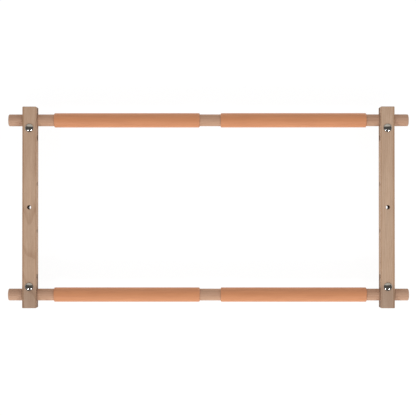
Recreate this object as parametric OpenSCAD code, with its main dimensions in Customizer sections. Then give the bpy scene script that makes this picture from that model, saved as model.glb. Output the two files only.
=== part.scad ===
// Rotating tapestry frame, lying on its back with its front face up.
// +X runs along the rollers, +Y along the side arms, and +Z points out of the front.
// The origin is under the middle of the frame, on the surface that the bolt ends stand on.
// All sizes are in millimetres.

/* [Frame] */
// Length of each roller
roller_len = 607.5; // [600:0.5:700]
// Length of each side arm
arm_len = 305; // [300:1:340]
// Distance between the centre lines of the side arms
arm_pitch = 542; // [530:1:548]
// Distance between the axes of the rollers
roller_pitch = 265; // [255:1:268]

/* [Side arms] */
// Width of an arm, seen from the front
arm_w = 21; // [19:0.5:24]
// Thickness of an arm, from front to back
arm_t = 27; // [25:0.5:30]
// Bevel that eases every edge of an arm
arm_ease = 0.8; // [0.3:0.1:1.5]
// Diameter of the mounting hole through the middle of an arm, front to back
centre_hole_d = 6; // [4:0.5:8]
// Diameter of the mounting holes through the sides of an arm
side_hole_d = 5.3; // [4:0.1:7]
// Distance between the two side mounting holes of an arm
side_hole_pitch = 71; // [50:1:90]

/* [Split clamp ends] */
// Distance from a roller's axis to its clamping bolt, towards the middle of the arm
bolt_offset = 12.4; // [12.4:0.1:16]
// Distance from that bolt to the relief hole across the arm, where the saw cut ends
relief_offset = 14.1; // [13:0.1:24]
// Diameter of the relief hole, which keeps the wood from splitting on
relief_d = 9; // [6:0.5:10]
// Width of the saw cut where it meets the relief hole
kerf_root_w = 3.6; // [2.2:0.1:4.5]
// Width of the cut where the bolt squeezes it
kerf_pinch_w = 2.6; // [1.2:0.1:3]
// Width of the cut at its mouth, where the roller wedges the jaws apart
kerf_mouth_w = 6; // [2.2:0.1:7]
// Bevel round each mouth of the bore that a roller turns in
bore_ease = 0.8; // [0.3:0.1:1.5]

/* [Rollers] */
// Diameter of a roller
roller_d = 18; // [16:0.5:18]
// Rounding of the edges of a roller's ends
roller_round = 1.8; // [0.5:0.1:2.5]
// Gap all round between a roller and the bore that it turns in
roller_play = 0.06; // [0.03:0.01:0.1]

/* [Cloth clips] */
// Length of each cloth clip
clip_len = 221; // [200:0.5:228]
// Wall thickness of a clip
clip_wall = 1.85; // [1.2:0.05:3]
// Gap between the two clips of one roller
clip_gap = 32; // [20:0.5:40]
// How far the middle of that gap lies to the right of the middle of the roller
clip_shift = 2.7; // [-4:0.1:4]
// Angle of the slot along the back of a clip, in degrees
clip_slot_angle = 66; // [50:1:100]
// Rounding of the outer edge of a clip's ends
clip_round = 1.3; // [0.4:0.1:1.5]

/* [Fastenings] */
// Length of a carriage bolt under its head
bolt_len = 45; // [45:1:50]
// Diameter of the bolt's thread
bolt_d = 5; // [5:1:5]
// Diameter of the domed bolt head
head_d = 12.6; // [11:0.1:13.6]
// Height of the domed bolt head
head_h = 3; // [2:0.1:3.3]
// Width across the square neck under the head
neck_w = 5.2; // [5.1:0.1:5.4]
// Depth of the square neck
neck_h = 3.5; // [2:0.1:4]
// Outside diameter of a washer
washer_d = 15; // [10:1:18]
// Thickness of a washer
washer_t = 1.2; // [0.8:0.1:1.6]
// Span of a wing nut from tip to tip
wing_span = 26; // [24:0.5:28]
// Height of a wing nut from its seat to the top of its wings
wing_h = 13; // [12:0.5:14]
// Thickness of a wing nut's wings at their rims
wing_t = 1.5; // [1:0.1:2.2]

/* [Hidden] */

$fn = 64;

beech = [0.72, 0.60, 0.50];
roller_beech = [0.71, 0.57, 0.48];
terracotta = [0.78, 0.54, 0.40];
bright_zinc = [0.80, 0.81, 0.83];

// Which side and end a piece belongs to: [-1 left or 1 right, 1 top or -1 bottom]
top_left = [-1, 1];
top_right = [1, 1];
bottom_left = [-1, -1];
bottom_right = [1, -1];

// Heights above the surface that the bolt ends stand on
front_z = bolt_len;
back_z = front_z - arm_t;
mid_z = back_z + arm_t / 2;
washer_z = back_z - washer_t;

// Reach of a cutter past the face that it leaves
past = 1;
roller_r = roller_d / 2;
bore_r = roller_r + roller_play;
bolt_hole_r = bolt_d / 2 + 0.1;
neck_play = 0.05;
clip_in_r = roller_r + 0.05;
clip_out_r = clip_in_r + clip_wall;
// Bevel of the lips of a clip's slot, and the angle in degrees that it opens the slot by
lip_ease = 0.4;
lip_lead = 4.5;
washer_hole_r = bolt_d / 2 + 0.15;
nut_bore_r = bolt_d / 2 + 0.05;
bolt_tip_bevel = 0.7;
// Height of the upright rim below a bolt head's dome
head_rim = 0.5;
bolt_y = roller_pitch / 2 - bolt_offset;
relief_y = bolt_y - relief_offset;
kerf_len = arm_len / 2 - relief_y;

// Wing nut: a tapered hub with two ears that lean outwards
hub_seat_d = 11;
hub_top_d = 9;
hub_h = 5.2;
ear_r = 4.2;
ear_bulge = 1;
ear_root_t = 3.4;
countersink = 0.5;
// How far each wing nut stands turned from the line of its arm, in degrees
nut_angles = [[-1, 1, 8], [1, 1, -12], [-1, -1, 16], [1, -1, -6]];

// A point at a distance and an angle from the origin
function polar(r, angle) = r * [cos(angle), sin(angle)];

// Points along an arc, from one angle to another
function arc(centre, r, from, to, steps = 6) =
    [for (i = [0 : steps]) centre + polar(r, from + (to - from) * i / steps)];

// Outline to revolve for a rod or tube that is centred on the origin, with its outer ends rounded
function round_ended(in_r, out_r, length, round) =
    let (half = length / 2, top = arc([out_r - round, half - round], round, 0, 90))
    concat(
        [[in_r, -half]],
        [for (i = [len(top) - 1 : -1 : 0]) [top[i][0], -top[i][1]]],
        top,
        [[in_r, half]]
    );

// Width of the saw cut at a distance from the arm's end
function kerf_w(s) =
    let (at_bolt = arm_len / 2 - bolt_y)
    s < at_bolt
        ? kerf_pinch_w + (kerf_mouth_w - kerf_pinch_w) * pow(1 - s / at_bolt, 2)
        : kerf_pinch_w + (kerf_root_w - kerf_pinch_w) * pow((s - at_bolt) / (kerf_len - at_bolt), 2);

function nut_angle(corner) =
    [for (a = nut_angles) if (a[0] == corner[0] && a[1] == corner[1]) a[2]][0];

// A rectangle about the origin with its four corners bevelled
module eased_rect(w, h, ease) {
    x = w / 2;
    y = h / 2;
    polygon([
        [x - ease, -y], [x, -y + ease], [x, y - ease], [x - ease, y],
        [-x + ease, y], [-x, y - ease], [-x, -y + ease], [-x + ease, -y]
    ]);
}

// A square-sectioned bar about the origin with all twelve edges bevelled
module arm_blank() {
    intersection() {
        linear_extrude(arm_t, center = true) eased_rect(arm_w, arm_len, arm_ease);
        rotate([90, 0, 0]) linear_extrude(arm_len, center = true) eased_rect(arm_w, arm_t, arm_ease);
        rotate([0, 90, 0]) linear_extrude(arm_w, center = true) eased_rect(arm_t, arm_len, arm_ease);
    }
}

// The saw cut at one end of an arm, from its wide mouth past the bolt to the relief hole
module kerf() {
    steps = 10;
    stations = [for (i = [0 : steps]) kerf_len * i / steps];
    upper = [for (s = stations) [arm_len / 2 - s, kerf_w(s) / 2]];
    lower = [for (i = [steps : -1 : 0]) [arm_len / 2 - stations[i], -kerf_w(stations[i]) / 2]];
    mouth = [[arm_len / 2 + past, -kerf_mouth_w / 2], [arm_len / 2 + past, kerf_mouth_w / 2]];
    rotate([90, 0, 90]) linear_extrude(arm_w + 2 * past, center = true) polygon(concat(upper, lower, mouth));
}

// A round hole across an arm from side to side, at a distance from the arm's middle
module cross_hole(y, d) {
    translate([0, y, 0]) rotate([0, 90, 0]) cylinder(h = arm_w + 2 * past, d = d, center = true);
}

// The bevel round one mouth of a roller's bore, on the left (-1) or right (1) face of an arm
module bore_bevel(face) {
    translate([face * (arm_w / 2 - bore_ease), roller_pitch / 2, 0])
        rotate([0, face * 90, 0])
            cylinder(h = bore_ease + past, r1 = bore_r, r2 = bore_r + bore_ease + past);
}

// What is cut from one end of an arm: roller bore, saw cut and bolt hole with its square seat
module clamp_end_cuts() {
    neck_seat = neck_w + 2 * neck_play;
    cross_hole(roller_pitch / 2, 2 * bore_r);
    for (face = [-1, 1]) bore_bevel(face);
    kerf();
    cross_hole(relief_y, relief_d);
    translate([0, bolt_y, 0]) cylinder(h = arm_t + 2 * past, r = bolt_hole_r, center = true);
    translate([-neck_seat / 2, bolt_y - neck_seat / 2, arm_t / 2 - neck_h - neck_play])
        cube([neck_seat, neck_seat, neck_h + past]);
}

module side_arm(side) {
    color(beech)
    translate([side * arm_pitch / 2, 0, mid_z])
    difference() {
        arm_blank();
        clamp_end_cuts();
        mirror([0, 1, 0]) clamp_end_cuts();
        cylinder(h = arm_t + 2 * past, d = centre_hole_d, center = true);
        for (end = [-1, 1]) cross_hole(end * side_hole_pitch / 2, side_hole_d);
    }
}

module roller(end) {
    color(roller_beech)
    translate([0, end * roller_pitch / 2, mid_z])
        rotate([0, 90, 0])
            rotate_extrude() polygon(round_ended(0, roller_r, roller_len, roller_round));
}

// A split tube that springs over a roller to hold cloth on it, with its slot along the back
module cloth_clip(corner) {
    lip = clip_slot_angle / 2;
    edge = [
        polar(clip_in_r - lip_ease, lip + lip_lead),
        polar(clip_in_r + lip_ease, lip),
        polar(clip_out_r - lip_ease, lip),
        polar(clip_out_r + lip_ease, lip + lip_lead),
        polar(2 * clip_out_r, lip + lip_lead)
    ];
    far_edge = [for (i = [len(edge) - 1 : -1 : 0]) [edge[i][0], -edge[i][1]]];
    color(terracotta)
    translate([clip_shift + corner[0] * (clip_gap + clip_len) / 2, corner[1] * roller_pitch / 2, mid_z])
        rotate([0, 90, 0])
            difference() {
                rotate_extrude() polygon(round_ended(clip_in_r, clip_out_r, clip_len, clip_round));
                linear_extrude(clip_len + 2 * past, center = true) polygon(concat([[0, 0]], edge, far_edge));
            }
}

module carriage_bolt(corner) {
    dome_h = head_h - head_rim;
    dome_r = (pow(head_d / 2, 2) + pow(dome_h, 2)) / (2 * dome_h);
    tip_r = bolt_d / 2 - bolt_tip_bevel;
    color(bright_zinc)
    translate([corner[0] * arm_pitch / 2, corner[1] * bolt_y, 0])
        union() {
            cylinder(h = bolt_tip_bevel, r1 = tip_r, r2 = bolt_d / 2);
            translate([0, 0, bolt_tip_bevel]) cylinder(h = bolt_len - bolt_tip_bevel, d = bolt_d);
            translate([-neck_w / 2, -neck_w / 2, bolt_len - neck_h]) cube([neck_w, neck_w, neck_h]);
            intersection() {
                translate([0, 0, bolt_len + head_h - dome_r]) sphere(r = dome_r, $fn = 96);
                translate([0, 0, bolt_len]) cylinder(h = head_h + past, d = head_d);
            }
        }
}

module washer(corner) {
    color(bright_zinc)
    translate([corner[0] * arm_pitch / 2, corner[1] * bolt_y, washer_z])
        difference() {
            cylinder(h = washer_t, d = washer_d);
            translate([0, 0, -past]) cylinder(h = washer_t + 2 * past, r = washer_hole_r);
        }
}

// One ear of a wing nut, blended from the hub out to a round, thin-rimmed tip
module wing() {
    hull() {
        translate([wing_span / 2 - ear_r, 0, wing_h - ear_r])
            rotate([90, 0, 0]) {
                cylinder(h = wing_t, r = ear_r, center = true, $fn = 32);
                cylinder(h = wing_t + ear_bulge, r = ear_r - ear_bulge, center = true, $fn = 32);
            }
        translate([hub_top_d / 4, -ear_root_t / 2, countersink]) cube([1, ear_root_t, hub_h - 2 * countersink]);
    }
}

// The seat of the nut is at height 0 here and its wings point up; in place it is turned over
module wing_nut(corner) {
    color(bright_zinc)
    translate([corner[0] * arm_pitch / 2, corner[1] * bolt_y, washer_z])
        rotate([180, 0, 90 + nut_angle(corner)])
            difference() {
                union() {
                    cylinder(h = hub_h, d1 = hub_seat_d, d2 = hub_top_d);
                    wing();
                    mirror([1, 0, 0]) wing();
                }
                translate([0, 0, -past]) cylinder(h = wing_h + 2 * past, r = nut_bore_r);
                translate([0, 0, -countersink])
                    cylinder(h = 2 * countersink, r1 = nut_bore_r + 2 * countersink, r2 = nut_bore_r);
                translate([0, 0, hub_h - countersink])
                    cylinder(h = 2 * countersink, r1 = nut_bore_r, r2 = nut_bore_r + 2 * countersink);
            }
}

side_arm(-1);  // left_arm
side_arm(1);  // right_arm
roller(1);  // top_roller
roller(-1);  // bottom_roller
cloth_clip(top_left);  // top_left_clip
cloth_clip(top_right);  // top_right_clip
cloth_clip(bottom_left);  // bottom_left_clip
cloth_clip(bottom_right);  // bottom_right_clip
carriage_bolt(top_left);  // top_left_carriage_bolt
carriage_bolt(top_right);  // top_right_carriage_bolt
carriage_bolt(bottom_left);  // bottom_left_carriage_bolt
carriage_bolt(bottom_right);  // bottom_right_carriage_bolt
washer(top_left);  // top_left_washer
washer(top_right);  // top_right_washer
washer(bottom_left);  // bottom_left_washer
washer(bottom_right);  // bottom_right_washer
wing_nut(top_left);  // top_left_wing_nut
wing_nut(top_right);  // top_right_wing_nut
wing_nut(bottom_left);  // bottom_left_wing_nut
wing_nut(bottom_right);  // bottom_right_wing_nut
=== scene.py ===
"""Rotating tapestry frame: the looks of every piece, and the studio it is shown in.

The frame lies on its back with its front up. +X runs along the rollers, +Y up the side arms
and +Z out of the front. Sizes in the classes are millimetres, as a maker would give them.
"""

import logging
import math
from dataclasses import dataclass, field
from enum import Enum
from typing import Any, ClassVar, Dict, List, NamedTuple, Optional, Sequence, Tuple, Union

import bmesh
import bpy
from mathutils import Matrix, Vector


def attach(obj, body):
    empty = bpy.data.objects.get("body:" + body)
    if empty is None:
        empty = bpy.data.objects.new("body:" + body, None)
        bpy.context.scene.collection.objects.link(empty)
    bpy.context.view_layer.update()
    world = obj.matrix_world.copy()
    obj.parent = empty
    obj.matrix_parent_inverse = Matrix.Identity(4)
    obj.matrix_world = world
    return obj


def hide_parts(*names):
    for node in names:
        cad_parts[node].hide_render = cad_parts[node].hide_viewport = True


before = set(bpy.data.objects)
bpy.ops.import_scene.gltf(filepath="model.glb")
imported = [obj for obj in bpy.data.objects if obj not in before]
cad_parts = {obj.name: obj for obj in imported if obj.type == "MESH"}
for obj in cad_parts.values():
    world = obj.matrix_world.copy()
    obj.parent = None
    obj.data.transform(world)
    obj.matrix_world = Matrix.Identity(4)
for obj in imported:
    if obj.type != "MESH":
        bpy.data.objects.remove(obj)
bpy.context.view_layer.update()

MM = 0.001
CAD_WELD = 0.001 * MM
FINE_WELD = 0.0001 * MM

logging.basicConfig(level=logging.INFO, format="%(message)s")
log = logging.getLogger("tapestry_frame")

Colour = Tuple[float, float, float]
Point2 = Tuple[float, float]
Point3 = Tuple[float, float, float]


class Side(Enum):
    """The two side arms, by the sign of their place along X."""

    LEFT = -1
    RIGHT = 1

    @property
    def label(self) -> str:
        """The side's name in small letters."""
        return self.name.lower()

    @property
    def body(self) -> str:
        """The moving body that this side's arm belongs to."""
        return f"{self.label}_side"


class End(Enum):
    """The two ends of an arm, by the sign of their place along Y."""

    BOTTOM = -1
    TOP = 1

    @property
    def label(self) -> str:
        """The end's name in small letters."""
        return self.name.lower()


class GrainAxis(Enum):
    """Which way the fibres of a wooden piece run."""

    ALONG_X = "rollers"
    ALONG_Y = "arms"


class TurnedAxis(Enum):
    """Where the axis of a turned piece lies: turns in degrees that bring it there from Z."""

    ALONG_ROLLERS = (0.0, 90.0, 0.0)
    ALONG_BOLTS = (0.0, 0.0, 0.0)


class Blend(Enum):
    """How one colour is laid over another, under Blender's name for it."""

    MIX = "MIX"
    MULTIPLY = "MULTIPLY"


CORNERS = [(side, end) for end in (End.TOP, End.BOTTOM) for side in (Side.LEFT, Side.RIGHT)]


def corner_label(side: Side, end: End) -> str:
    """The name of a corner of the frame, such as top_left."""
    return f"{end.label}_{side.label}"


@dataclass(frozen=True)
class Layout:
    """The sizes that more than one sub-assembly is built to.

    Attributes:
        arm_pitch: From the middle line of one arm to that of the other.
        arm_length: Length of an arm.
        arm_width: Width of an arm.
        arm_thick: Thickness of an arm, from front to back.
        front: Height of the arms' fronts.
        roller_pitch: From the axis of one roller to that of the other.
        roller_length: Length of a roller.
        bolt: Place of each clamping bolt along an arm, from its middle.
        relief_hole: Place of each relief hole, at the root of a saw cut.
    """

    arm_pitch: float = 542.0
    arm_length: float = 305.0
    arm_width: float = 21.0
    arm_thick: float = 27.0
    front: float = 45.0
    roller_pitch: float = 265.0
    roller_length: float = 607.5
    bolt: float = 120.1
    relief_hole: float = 106.0

    @property
    def mid_height(self) -> float:
        """Height of the arms' middle, where the rollers' axes lie."""
        return self.front - self.arm_thick / 2

    def arm_x(self, side: Side) -> float:
        """Place of an arm's middle line along X."""
        return side.value * self.arm_pitch / 2

    def roller_y(self, end: End) -> float:
        """Place of a roller's axis along Y."""
        return end.value * self.roller_pitch / 2


LAYOUT = Layout()


def linear(red: int, green: int, blue: int) -> Colour:
    """Turns a colour seen on a screen into the linear values that shaders take.

    Args:
        red: Red, 0 to 255.
        green: Green, 0 to 255.
        blue: Blue, 0 to 255.

    Returns:
        The three linear values, 0 to 1.
    """

    def one(value: int) -> float:
        """One channel of the colour."""
        share = value / 255
        return share / 12.92 if share <= 0.04045 else ((share + 0.055) / 1.055) ** 2.4

    return one(red), one(green), one(blue)


def shaded(colour: Colour, share: float) -> Colour:
    """A colour with this share of its light."""
    return tuple(share * channel for channel in colour)


# Wiring of shaders and geometry


class Wire:
    """A value on its way between nodes. Arithmetic on it adds the Math nodes."""

    def __init__(self, bench: "Bench", socket: bpy.types.NodeSocket) -> None:
        """Holds the output socket and the bench that it is on."""
        self.bench = bench
        self.socket = socket

    def __add__(self, other: "Operand") -> "Wire":
        """Sum."""
        return self.bench.math("ADD", self, other)

    __radd__ = __add__

    def __sub__(self, other: "Operand") -> "Wire":
        """Difference."""
        return self.bench.math("SUBTRACT", self, other)

    def __rsub__(self, other: "Operand") -> "Wire":
        """Difference with this value taken away."""
        return self.bench.math("SUBTRACT", other, self)

    def __mul__(self, other: "Operand") -> "Wire":
        """Product."""
        return self.bench.math("MULTIPLY", self, other)

    __rmul__ = __mul__

    def __truediv__(self, other: "Operand") -> "Wire":
        """Quotient."""
        return self.bench.math("DIVIDE", self, other)

    def __rtruediv__(self, other: "Operand") -> "Wire":
        """Quotient with this value below the line."""
        return self.bench.math("DIVIDE", other, self)

    def __abs__(self) -> "Wire":
        """Size without sign."""
        return self.bench.math("ABSOLUTE", self)

    def fraction(self) -> "Wire":
        """What is left above the whole number."""
        return self.bench.math("FRACT", self)

    def step(self, low: float, high: float) -> "Wire":
        """Rises smoothly from 0 at low to 1 at high, or falls where low is above high.

        Args:
            low: The value at which the result is 0.
            high: The value at which it is 1.

        Returns:
            The result, between 0 and 1.
        """
        node = self.bench.add(
            "ShaderNodeMapRange",
            {"interpolation_type": "SMOOTHSTEP"},
            {"Value": self, "From Min": min(low, high), "From Max": max(low, high)},
        )
        rising = self.bench.wire(node, "Result")
        return rising if low < high else 1 - rising


Operand = Union[Wire, float]
Key = Union[str, int]


class Bench:
    """A node tree on which the parts of a shader or of a geometry are wired up."""

    def __init__(self, tree: bpy.types.NodeTree) -> None:
        """Starts from an empty tree."""
        self.tree = tree
        tree.nodes.clear()

    @staticmethod
    def _open(sockets: Any, key: Key) -> bpy.types.NodeSocket:
        """The socket in use that has this name or number."""
        named = (s for s in sockets if s.enabled and s.name == key)
        return sockets[key] if isinstance(key, int) else next(named)

    def add(
        self,
        kind: str,
        settings: Optional[Dict[str, Any]] = None,
        feeds: Optional[Dict[Key, Any]] = None,
    ) -> bpy.types.Node:
        """Adds a node, sets it, and then feeds it.

        Args:
            kind: The node's type.
            settings: Its own settings.
            feeds: What goes into each input, by name or number: a wire or a fixed value.

        Returns:
            The node.
        """
        node = self.tree.nodes.new(kind)
        for name, value in (settings or {}).items():
            setattr(node, name, value)
        for key, value in (feeds or {}).items():
            inlet = self._open(node.inputs, key)
            if isinstance(value, Wire):
                self.tree.links.new(value.socket, inlet)
            else:
                inlet.default_value = value
        return node

    def wire(self, node: bpy.types.Node, name: Key = 0) -> Wire:
        """The wire out of a node's output."""
        return Wire(self, self._open(node.outputs, name))

    def get(
        self,
        kind: str,
        settings: Optional[Dict[str, Any]] = None,
        feeds: Optional[Dict[Key, Any]] = None,
        output: Key = 0,
    ) -> Wire:
        """Adds a node and returns the wire out of one of its outputs."""
        return self.wire(self.add(kind, settings, feeds), output)

    def math(self, operation: str, *values: Operand) -> Wire:
        """Adds one Math node for an operation on one, two or three values."""
        return self.get("ShaderNodeMath", {"operation": operation}, dict(enumerate(values)))

    def distance(self, first: Wire, second: Wire) -> Wire:
        """How far two values that stand at right angles reach together."""
        return self.math("SQRT", first * first + second * second)

    def mix(self, factor: Operand, first: Any, second: Any, blend: Blend = Blend.MIX) -> Wire:
        """Mixes two colours.

        Args:
            factor: How much of the second colour, 0 to 1.
            first: The colour at 0, as a wire or as linear values.
            second: The colour at 1, as a wire or as linear values.
            blend: How the two are laid over each other.

        Returns:
            The mixed colour.
        """

        def colour(value: Any) -> Any:
            """A fixed colour with its alpha, or the wire as it is."""
            return value if isinstance(value, Wire) else (*value, 1.0)

        return self.get(
            "ShaderNodeMix",
            {"data_type": "RGBA", "blend_type": blend.value},
            {"Factor": factor, "A": colour(first), "B": colour(second)},
            "Result",
        )

    def vector(self, x: Operand, y: Operand, z: Operand) -> Wire:
        """Joins three values into a vector."""
        return self.get("ShaderNodeCombineXYZ", {}, {"X": x, "Y": y, "Z": z})

    def split(self, place: Wire) -> Tuple[Wire, Wire, Wire]:
        """Takes a vector apart into its three values."""
        node = self.add("ShaderNodeSeparateXYZ", {}, {0: place})
        return self.wire(node, "X"), self.wire(node, "Y"), self.wire(node, "Z")


@dataclass(frozen=True)
class Pattern:
    """Cloudy noise on a piece, which may be drawn out one way.

    Attributes:
        rates: How fast it changes along each of the three ways that it is read by.
        scale: How fine it is as a whole.
        detail: How many finer layers it has.
        rough: How strong those layers are.
        shows: Values of the noise at which the pattern starts to show and shows in full.
        share: How much it counts where it shows in full.
    """

    rates: Point3 = (1.0, 1.0, 1.0)
    scale: float = 1.0
    detail: float = 2.0
    rough: float = 0.5
    shows: Point2 = (0.0, 1.0)
    share: float = 1.0

    def at(self, bench: Bench, *place: Wire) -> Wire:
        """The noise at a place in millimetres.

        Args:
            bench: The material's bench.
            place: The three values of the place.

        Returns:
            The noise, between 0 and 1.
        """
        drawn = bench.vector(*(value * rate for value, rate in zip(place, self.rates)))
        feeds = {"Vector": drawn, "Scale": self.scale, "Detail": self.detail}
        return bench.get("ShaderNodeTexNoise", {}, {**feeds, "Roughness": self.rough})

    def shown(self, noise: Wire) -> Wire:
        """How far the pattern shows where its noise has this value."""
        return noise.step(*self.shows) * self.share


# Finishes


class Finish:
    """What every finish shares: a material that starts from places in millimetres.

    Attributes:
        name: The material's name.
    """

    name: str

    def material(self) -> bpy.types.Material:
        """Makes the material, or finds it if it is already made.

        Returns:
            The material.
        """
        made = bpy.data.materials.get(self.name)
        if made is None:
            made = bpy.data.materials.new(self.name)
            made.use_nodes = True
            bench = Bench(made.node_tree)
            bench.add("ShaderNodeOutputMaterial", {}, {"Surface": self.surface(bench)})
        return made

    def surface(self, bench: Bench) -> Wire:
        """Wires up the surface. Each finish has its own."""
        raise NotImplementedError

    @staticmethod
    def place_mm(bench: Bench) -> Wire:
        """The place on the piece in millimetres, which goes with the piece as it moves."""
        feeds = {0: bench.get("ShaderNodeTexCoord", {}, {}, "Object"), "Scale": 1 / MM}
        return bench.get("ShaderNodeVectorMath", {"operation": "SCALE"}, feeds)

    @staticmethod
    def shader(
        bench: Bench, colour: Wire, rough: Wire, height: Wire, depth: float, fixed: Dict[str, float]
    ) -> Wire:
        """Wires up the shader that every finish of the frame ends in.

        Args:
            bench: The material's bench.
            colour: Base colour.
            rough: Roughness.
            height: Height of the relief, 0 to 1.
            depth: Depth of the relief.
            fixed: What is the same all over, by the name of its socket.

        Returns:
            The shader.
        """
        feeds = {"Height": height, "Distance": depth * MM, "Strength": 1.0}
        normal = bench.get("ShaderNodeBump", {}, feeds)
        feeds = {"Base Color": colour, "Roughness": rough, "Normal": normal, **fixed}
        return bench.get("ShaderNodeBsdfPrincipled", {}, feeds)


class WoodPlace(NamedTuple):
    """A place in a wooden piece, from its middle.

    Attributes:
        side: How far to one side of it.
        grain: How far along its grain.
        deep: How far above its middle.
    """

    side: Wire
    grain: Wire
    deep: Wire


@dataclass(frozen=True)
class Beech(Finish):
    """Bare beech. The rings are circles round a pith line that lies beside the piece.

    Attributes:
        name: The material's name.
        pale: Colour of the early wood.
        deep: Colour of the late wood and the streaks.
        axis: Which way the fibres run.
        middle: The middle of the piece across its grain.
        pith: Where the tree's middle lies from there, across the grain.
        lean: How far the pith line drifts for each millimetre along the grain.
        ring: Width of one year's growth.
        ends: How far along the grain the sawn ends are, each way.
        bend: Place along the grain past which the pith line drifts no further.
        bend_ease: Length over which that drift dies out.
        sway: How far the rings wander, at most.
        wander: The waves that they wander in.
        fibre: The fine streaks along the grain.
        cloud: Broad deeper patches.
        fleck: The short dark ray flecks.
        pore: Pores, as they show on the sawn ends.
        late_rise: Where in a year's growth the late wood sets in, as shares of the year.
        late_fall: Where in it the late wood breaks off.
        late_in_colour: How much the late wood counts in the colour.
        late_in_ends: How much it counts in the colour of the sawn ends.
        late_in_relief: How much it counts in the relief.
        fibre_in_relief: How much the fibres count in the relief.
        fleck_shade: Share of the deep colour's light that a fleck has.
        pore_shade: Share of it that a pore has.
        sawn_from: How far before its end a piece starts to look sawn, and looks it in full.
        sawn_share: How much of the sawn ends' own colour shows.
        rough: Roughness of clean wood.
        fibre_rough: What the fibres add to it.
        hole_shade_rough: What the painted shade in holes and saw cuts adds to it.
        shine: Specular level.
        relief_depth: Depth of the relief.
    """

    name: str
    pale: Colour
    deep: Colour
    axis: GrainAxis
    middle: Point2
    pith: Point2
    lean: Point2
    ring: float
    ends: float
    bend: float = 400.0
    bend_ease: float = 12.0
    sway: float = 9.0
    wander: Pattern = Pattern((0.05, 0.011, 0.05), detail=1.0)
    fibre: Pattern = Pattern((2.4, 0.05, 2.4), detail=4.0, rough=0.6, shows=(0.34, 0.7), share=0.42)
    cloud: Pattern = Pattern((0.09, 0.02, 0.09), shows=(0.3, 0.7), share=0.24)
    fleck: Pattern = Pattern((1.1, 0.22, 1.1), scale=1.6, detail=1.0, shows=(0.62, 0.72), share=0.3)
    pore: Pattern = Pattern((1.0, 0.3, 1.0), scale=3.2, shows=(0.45, 0.7), share=0.5)
    late_rise: Point2 = (0.66, 0.94)
    late_fall: Point2 = (1.0, 0.95)
    late_in_colour: float = 0.4
    late_in_ends: float = 0.3
    late_in_relief: float = 0.25
    fibre_in_relief: float = 0.6
    fleck_shade: float = 0.72
    pore_shade: float = 0.55
    sawn_from: Point2 = (0.9, 0.3)
    sawn_share: float = 0.75
    rough: float = 0.6
    fibre_rough: float = 0.16
    hole_shade_rough: float = 0.35
    shine: float = 0.12
    relief_depth: float = 0.05

    def surface(self, bench: Bench) -> Wire:
        """Wires up rings, fibres, ray flecks and darker sawn ends.

        Args:
            bench: The material's bench.

        Returns:
            The shader.
        """
        x, y, z = bench.split(self.place_mm(bench))
        grain, side = (x, y) if self.axis is GrainAxis.ALONG_X else (y, x)
        place = WoodPlace(side - self.middle[0], grain, z - self.middle[1])
        late = self.late_wood(bench, place)
        fibres = self.fibre.at(bench, *place)
        clouds = self.cloud.at(bench, *place)
        flecks = self.fleck.shown(self.fleck.at(bench, *place))
        pores = self.pore.at(bench, *place)
        tone = late * self.late_in_colour + self.fibre.shown(fibres) + self.cloud.shown(clouds)
        colour = bench.mix(tone, self.pale, self.deep)
        colour = bench.mix(flecks, colour, shaded(self.deep, self.fleck_shade))
        end_tone = self.pore.shown(pores) + late * self.late_in_ends
        end_colour = bench.mix(end_tone, self.deep, shaded(self.deep, self.pore_shade))
        sawn = abs(grain).step(*(self.ends - before for before in self.sawn_from))
        colour = bench.mix(sawn * self.sawn_share, colour, end_colour)
        # Adds the piece's marks, and its painted light and painted shade.
        colour, hole_shaded = self.worked(bench, colour, place)
        height = fibres * self.fibre_in_relief + late * self.late_in_relief - flecks
        height = height + pores * sawn
        rough = fibres * self.fibre_rough + self.rough + hole_shaded * self.hole_shade_rough
        fixed = {"Specular IOR Level": self.shine}
        return self.shader(bench, colour, rough, height, self.relief_depth, fixed)

    def late_wood(self, bench: Bench, place: WoodPlace) -> Wire:
        """Draws the yearly rings round the pith line.

        Args:
            bench: The material's bench.
            place: The place in the piece.

        Returns:
            1 in the late wood and 0 in the early wood.
        """
        sway = (self.wander.at(bench, *place) - 0.5) * self.sway
        drift = bench.math("SMOOTH_MIN", place.grain, self.bend, self.bend_ease)
        off_side = place.side - self.pith[0] - drift * self.lean[0]
        off_deep = place.deep - self.pith[1] - drift * self.lean[1]
        phase = ((bench.distance(off_side, off_deep) + sway) / self.ring).fraction()
        return phase.step(*self.late_rise) * phase.step(*self.late_fall)

    def worked(self, bench: Bench, colour: Wire, place: WoodPlace) -> Tuple[Wire, Operand]:
        """Marks, painted light and painted shade on the wood: none, on a plain piece."""
        return colour, 0.0


@dataclass(frozen=True)
class Bore:
    """A round hole in an arm, and the painted shade in and round it.

    Attributes:
        place: Place along the arm each way from its middle.
        radius: The hole's radius.
        reach: How far the painted shade reaches round it.
        burn: How dark the painted shade is, 0 to 1.
    """

    place: float
    radius: float
    reach: float = 0.7
    burn: float = 1.0


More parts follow.
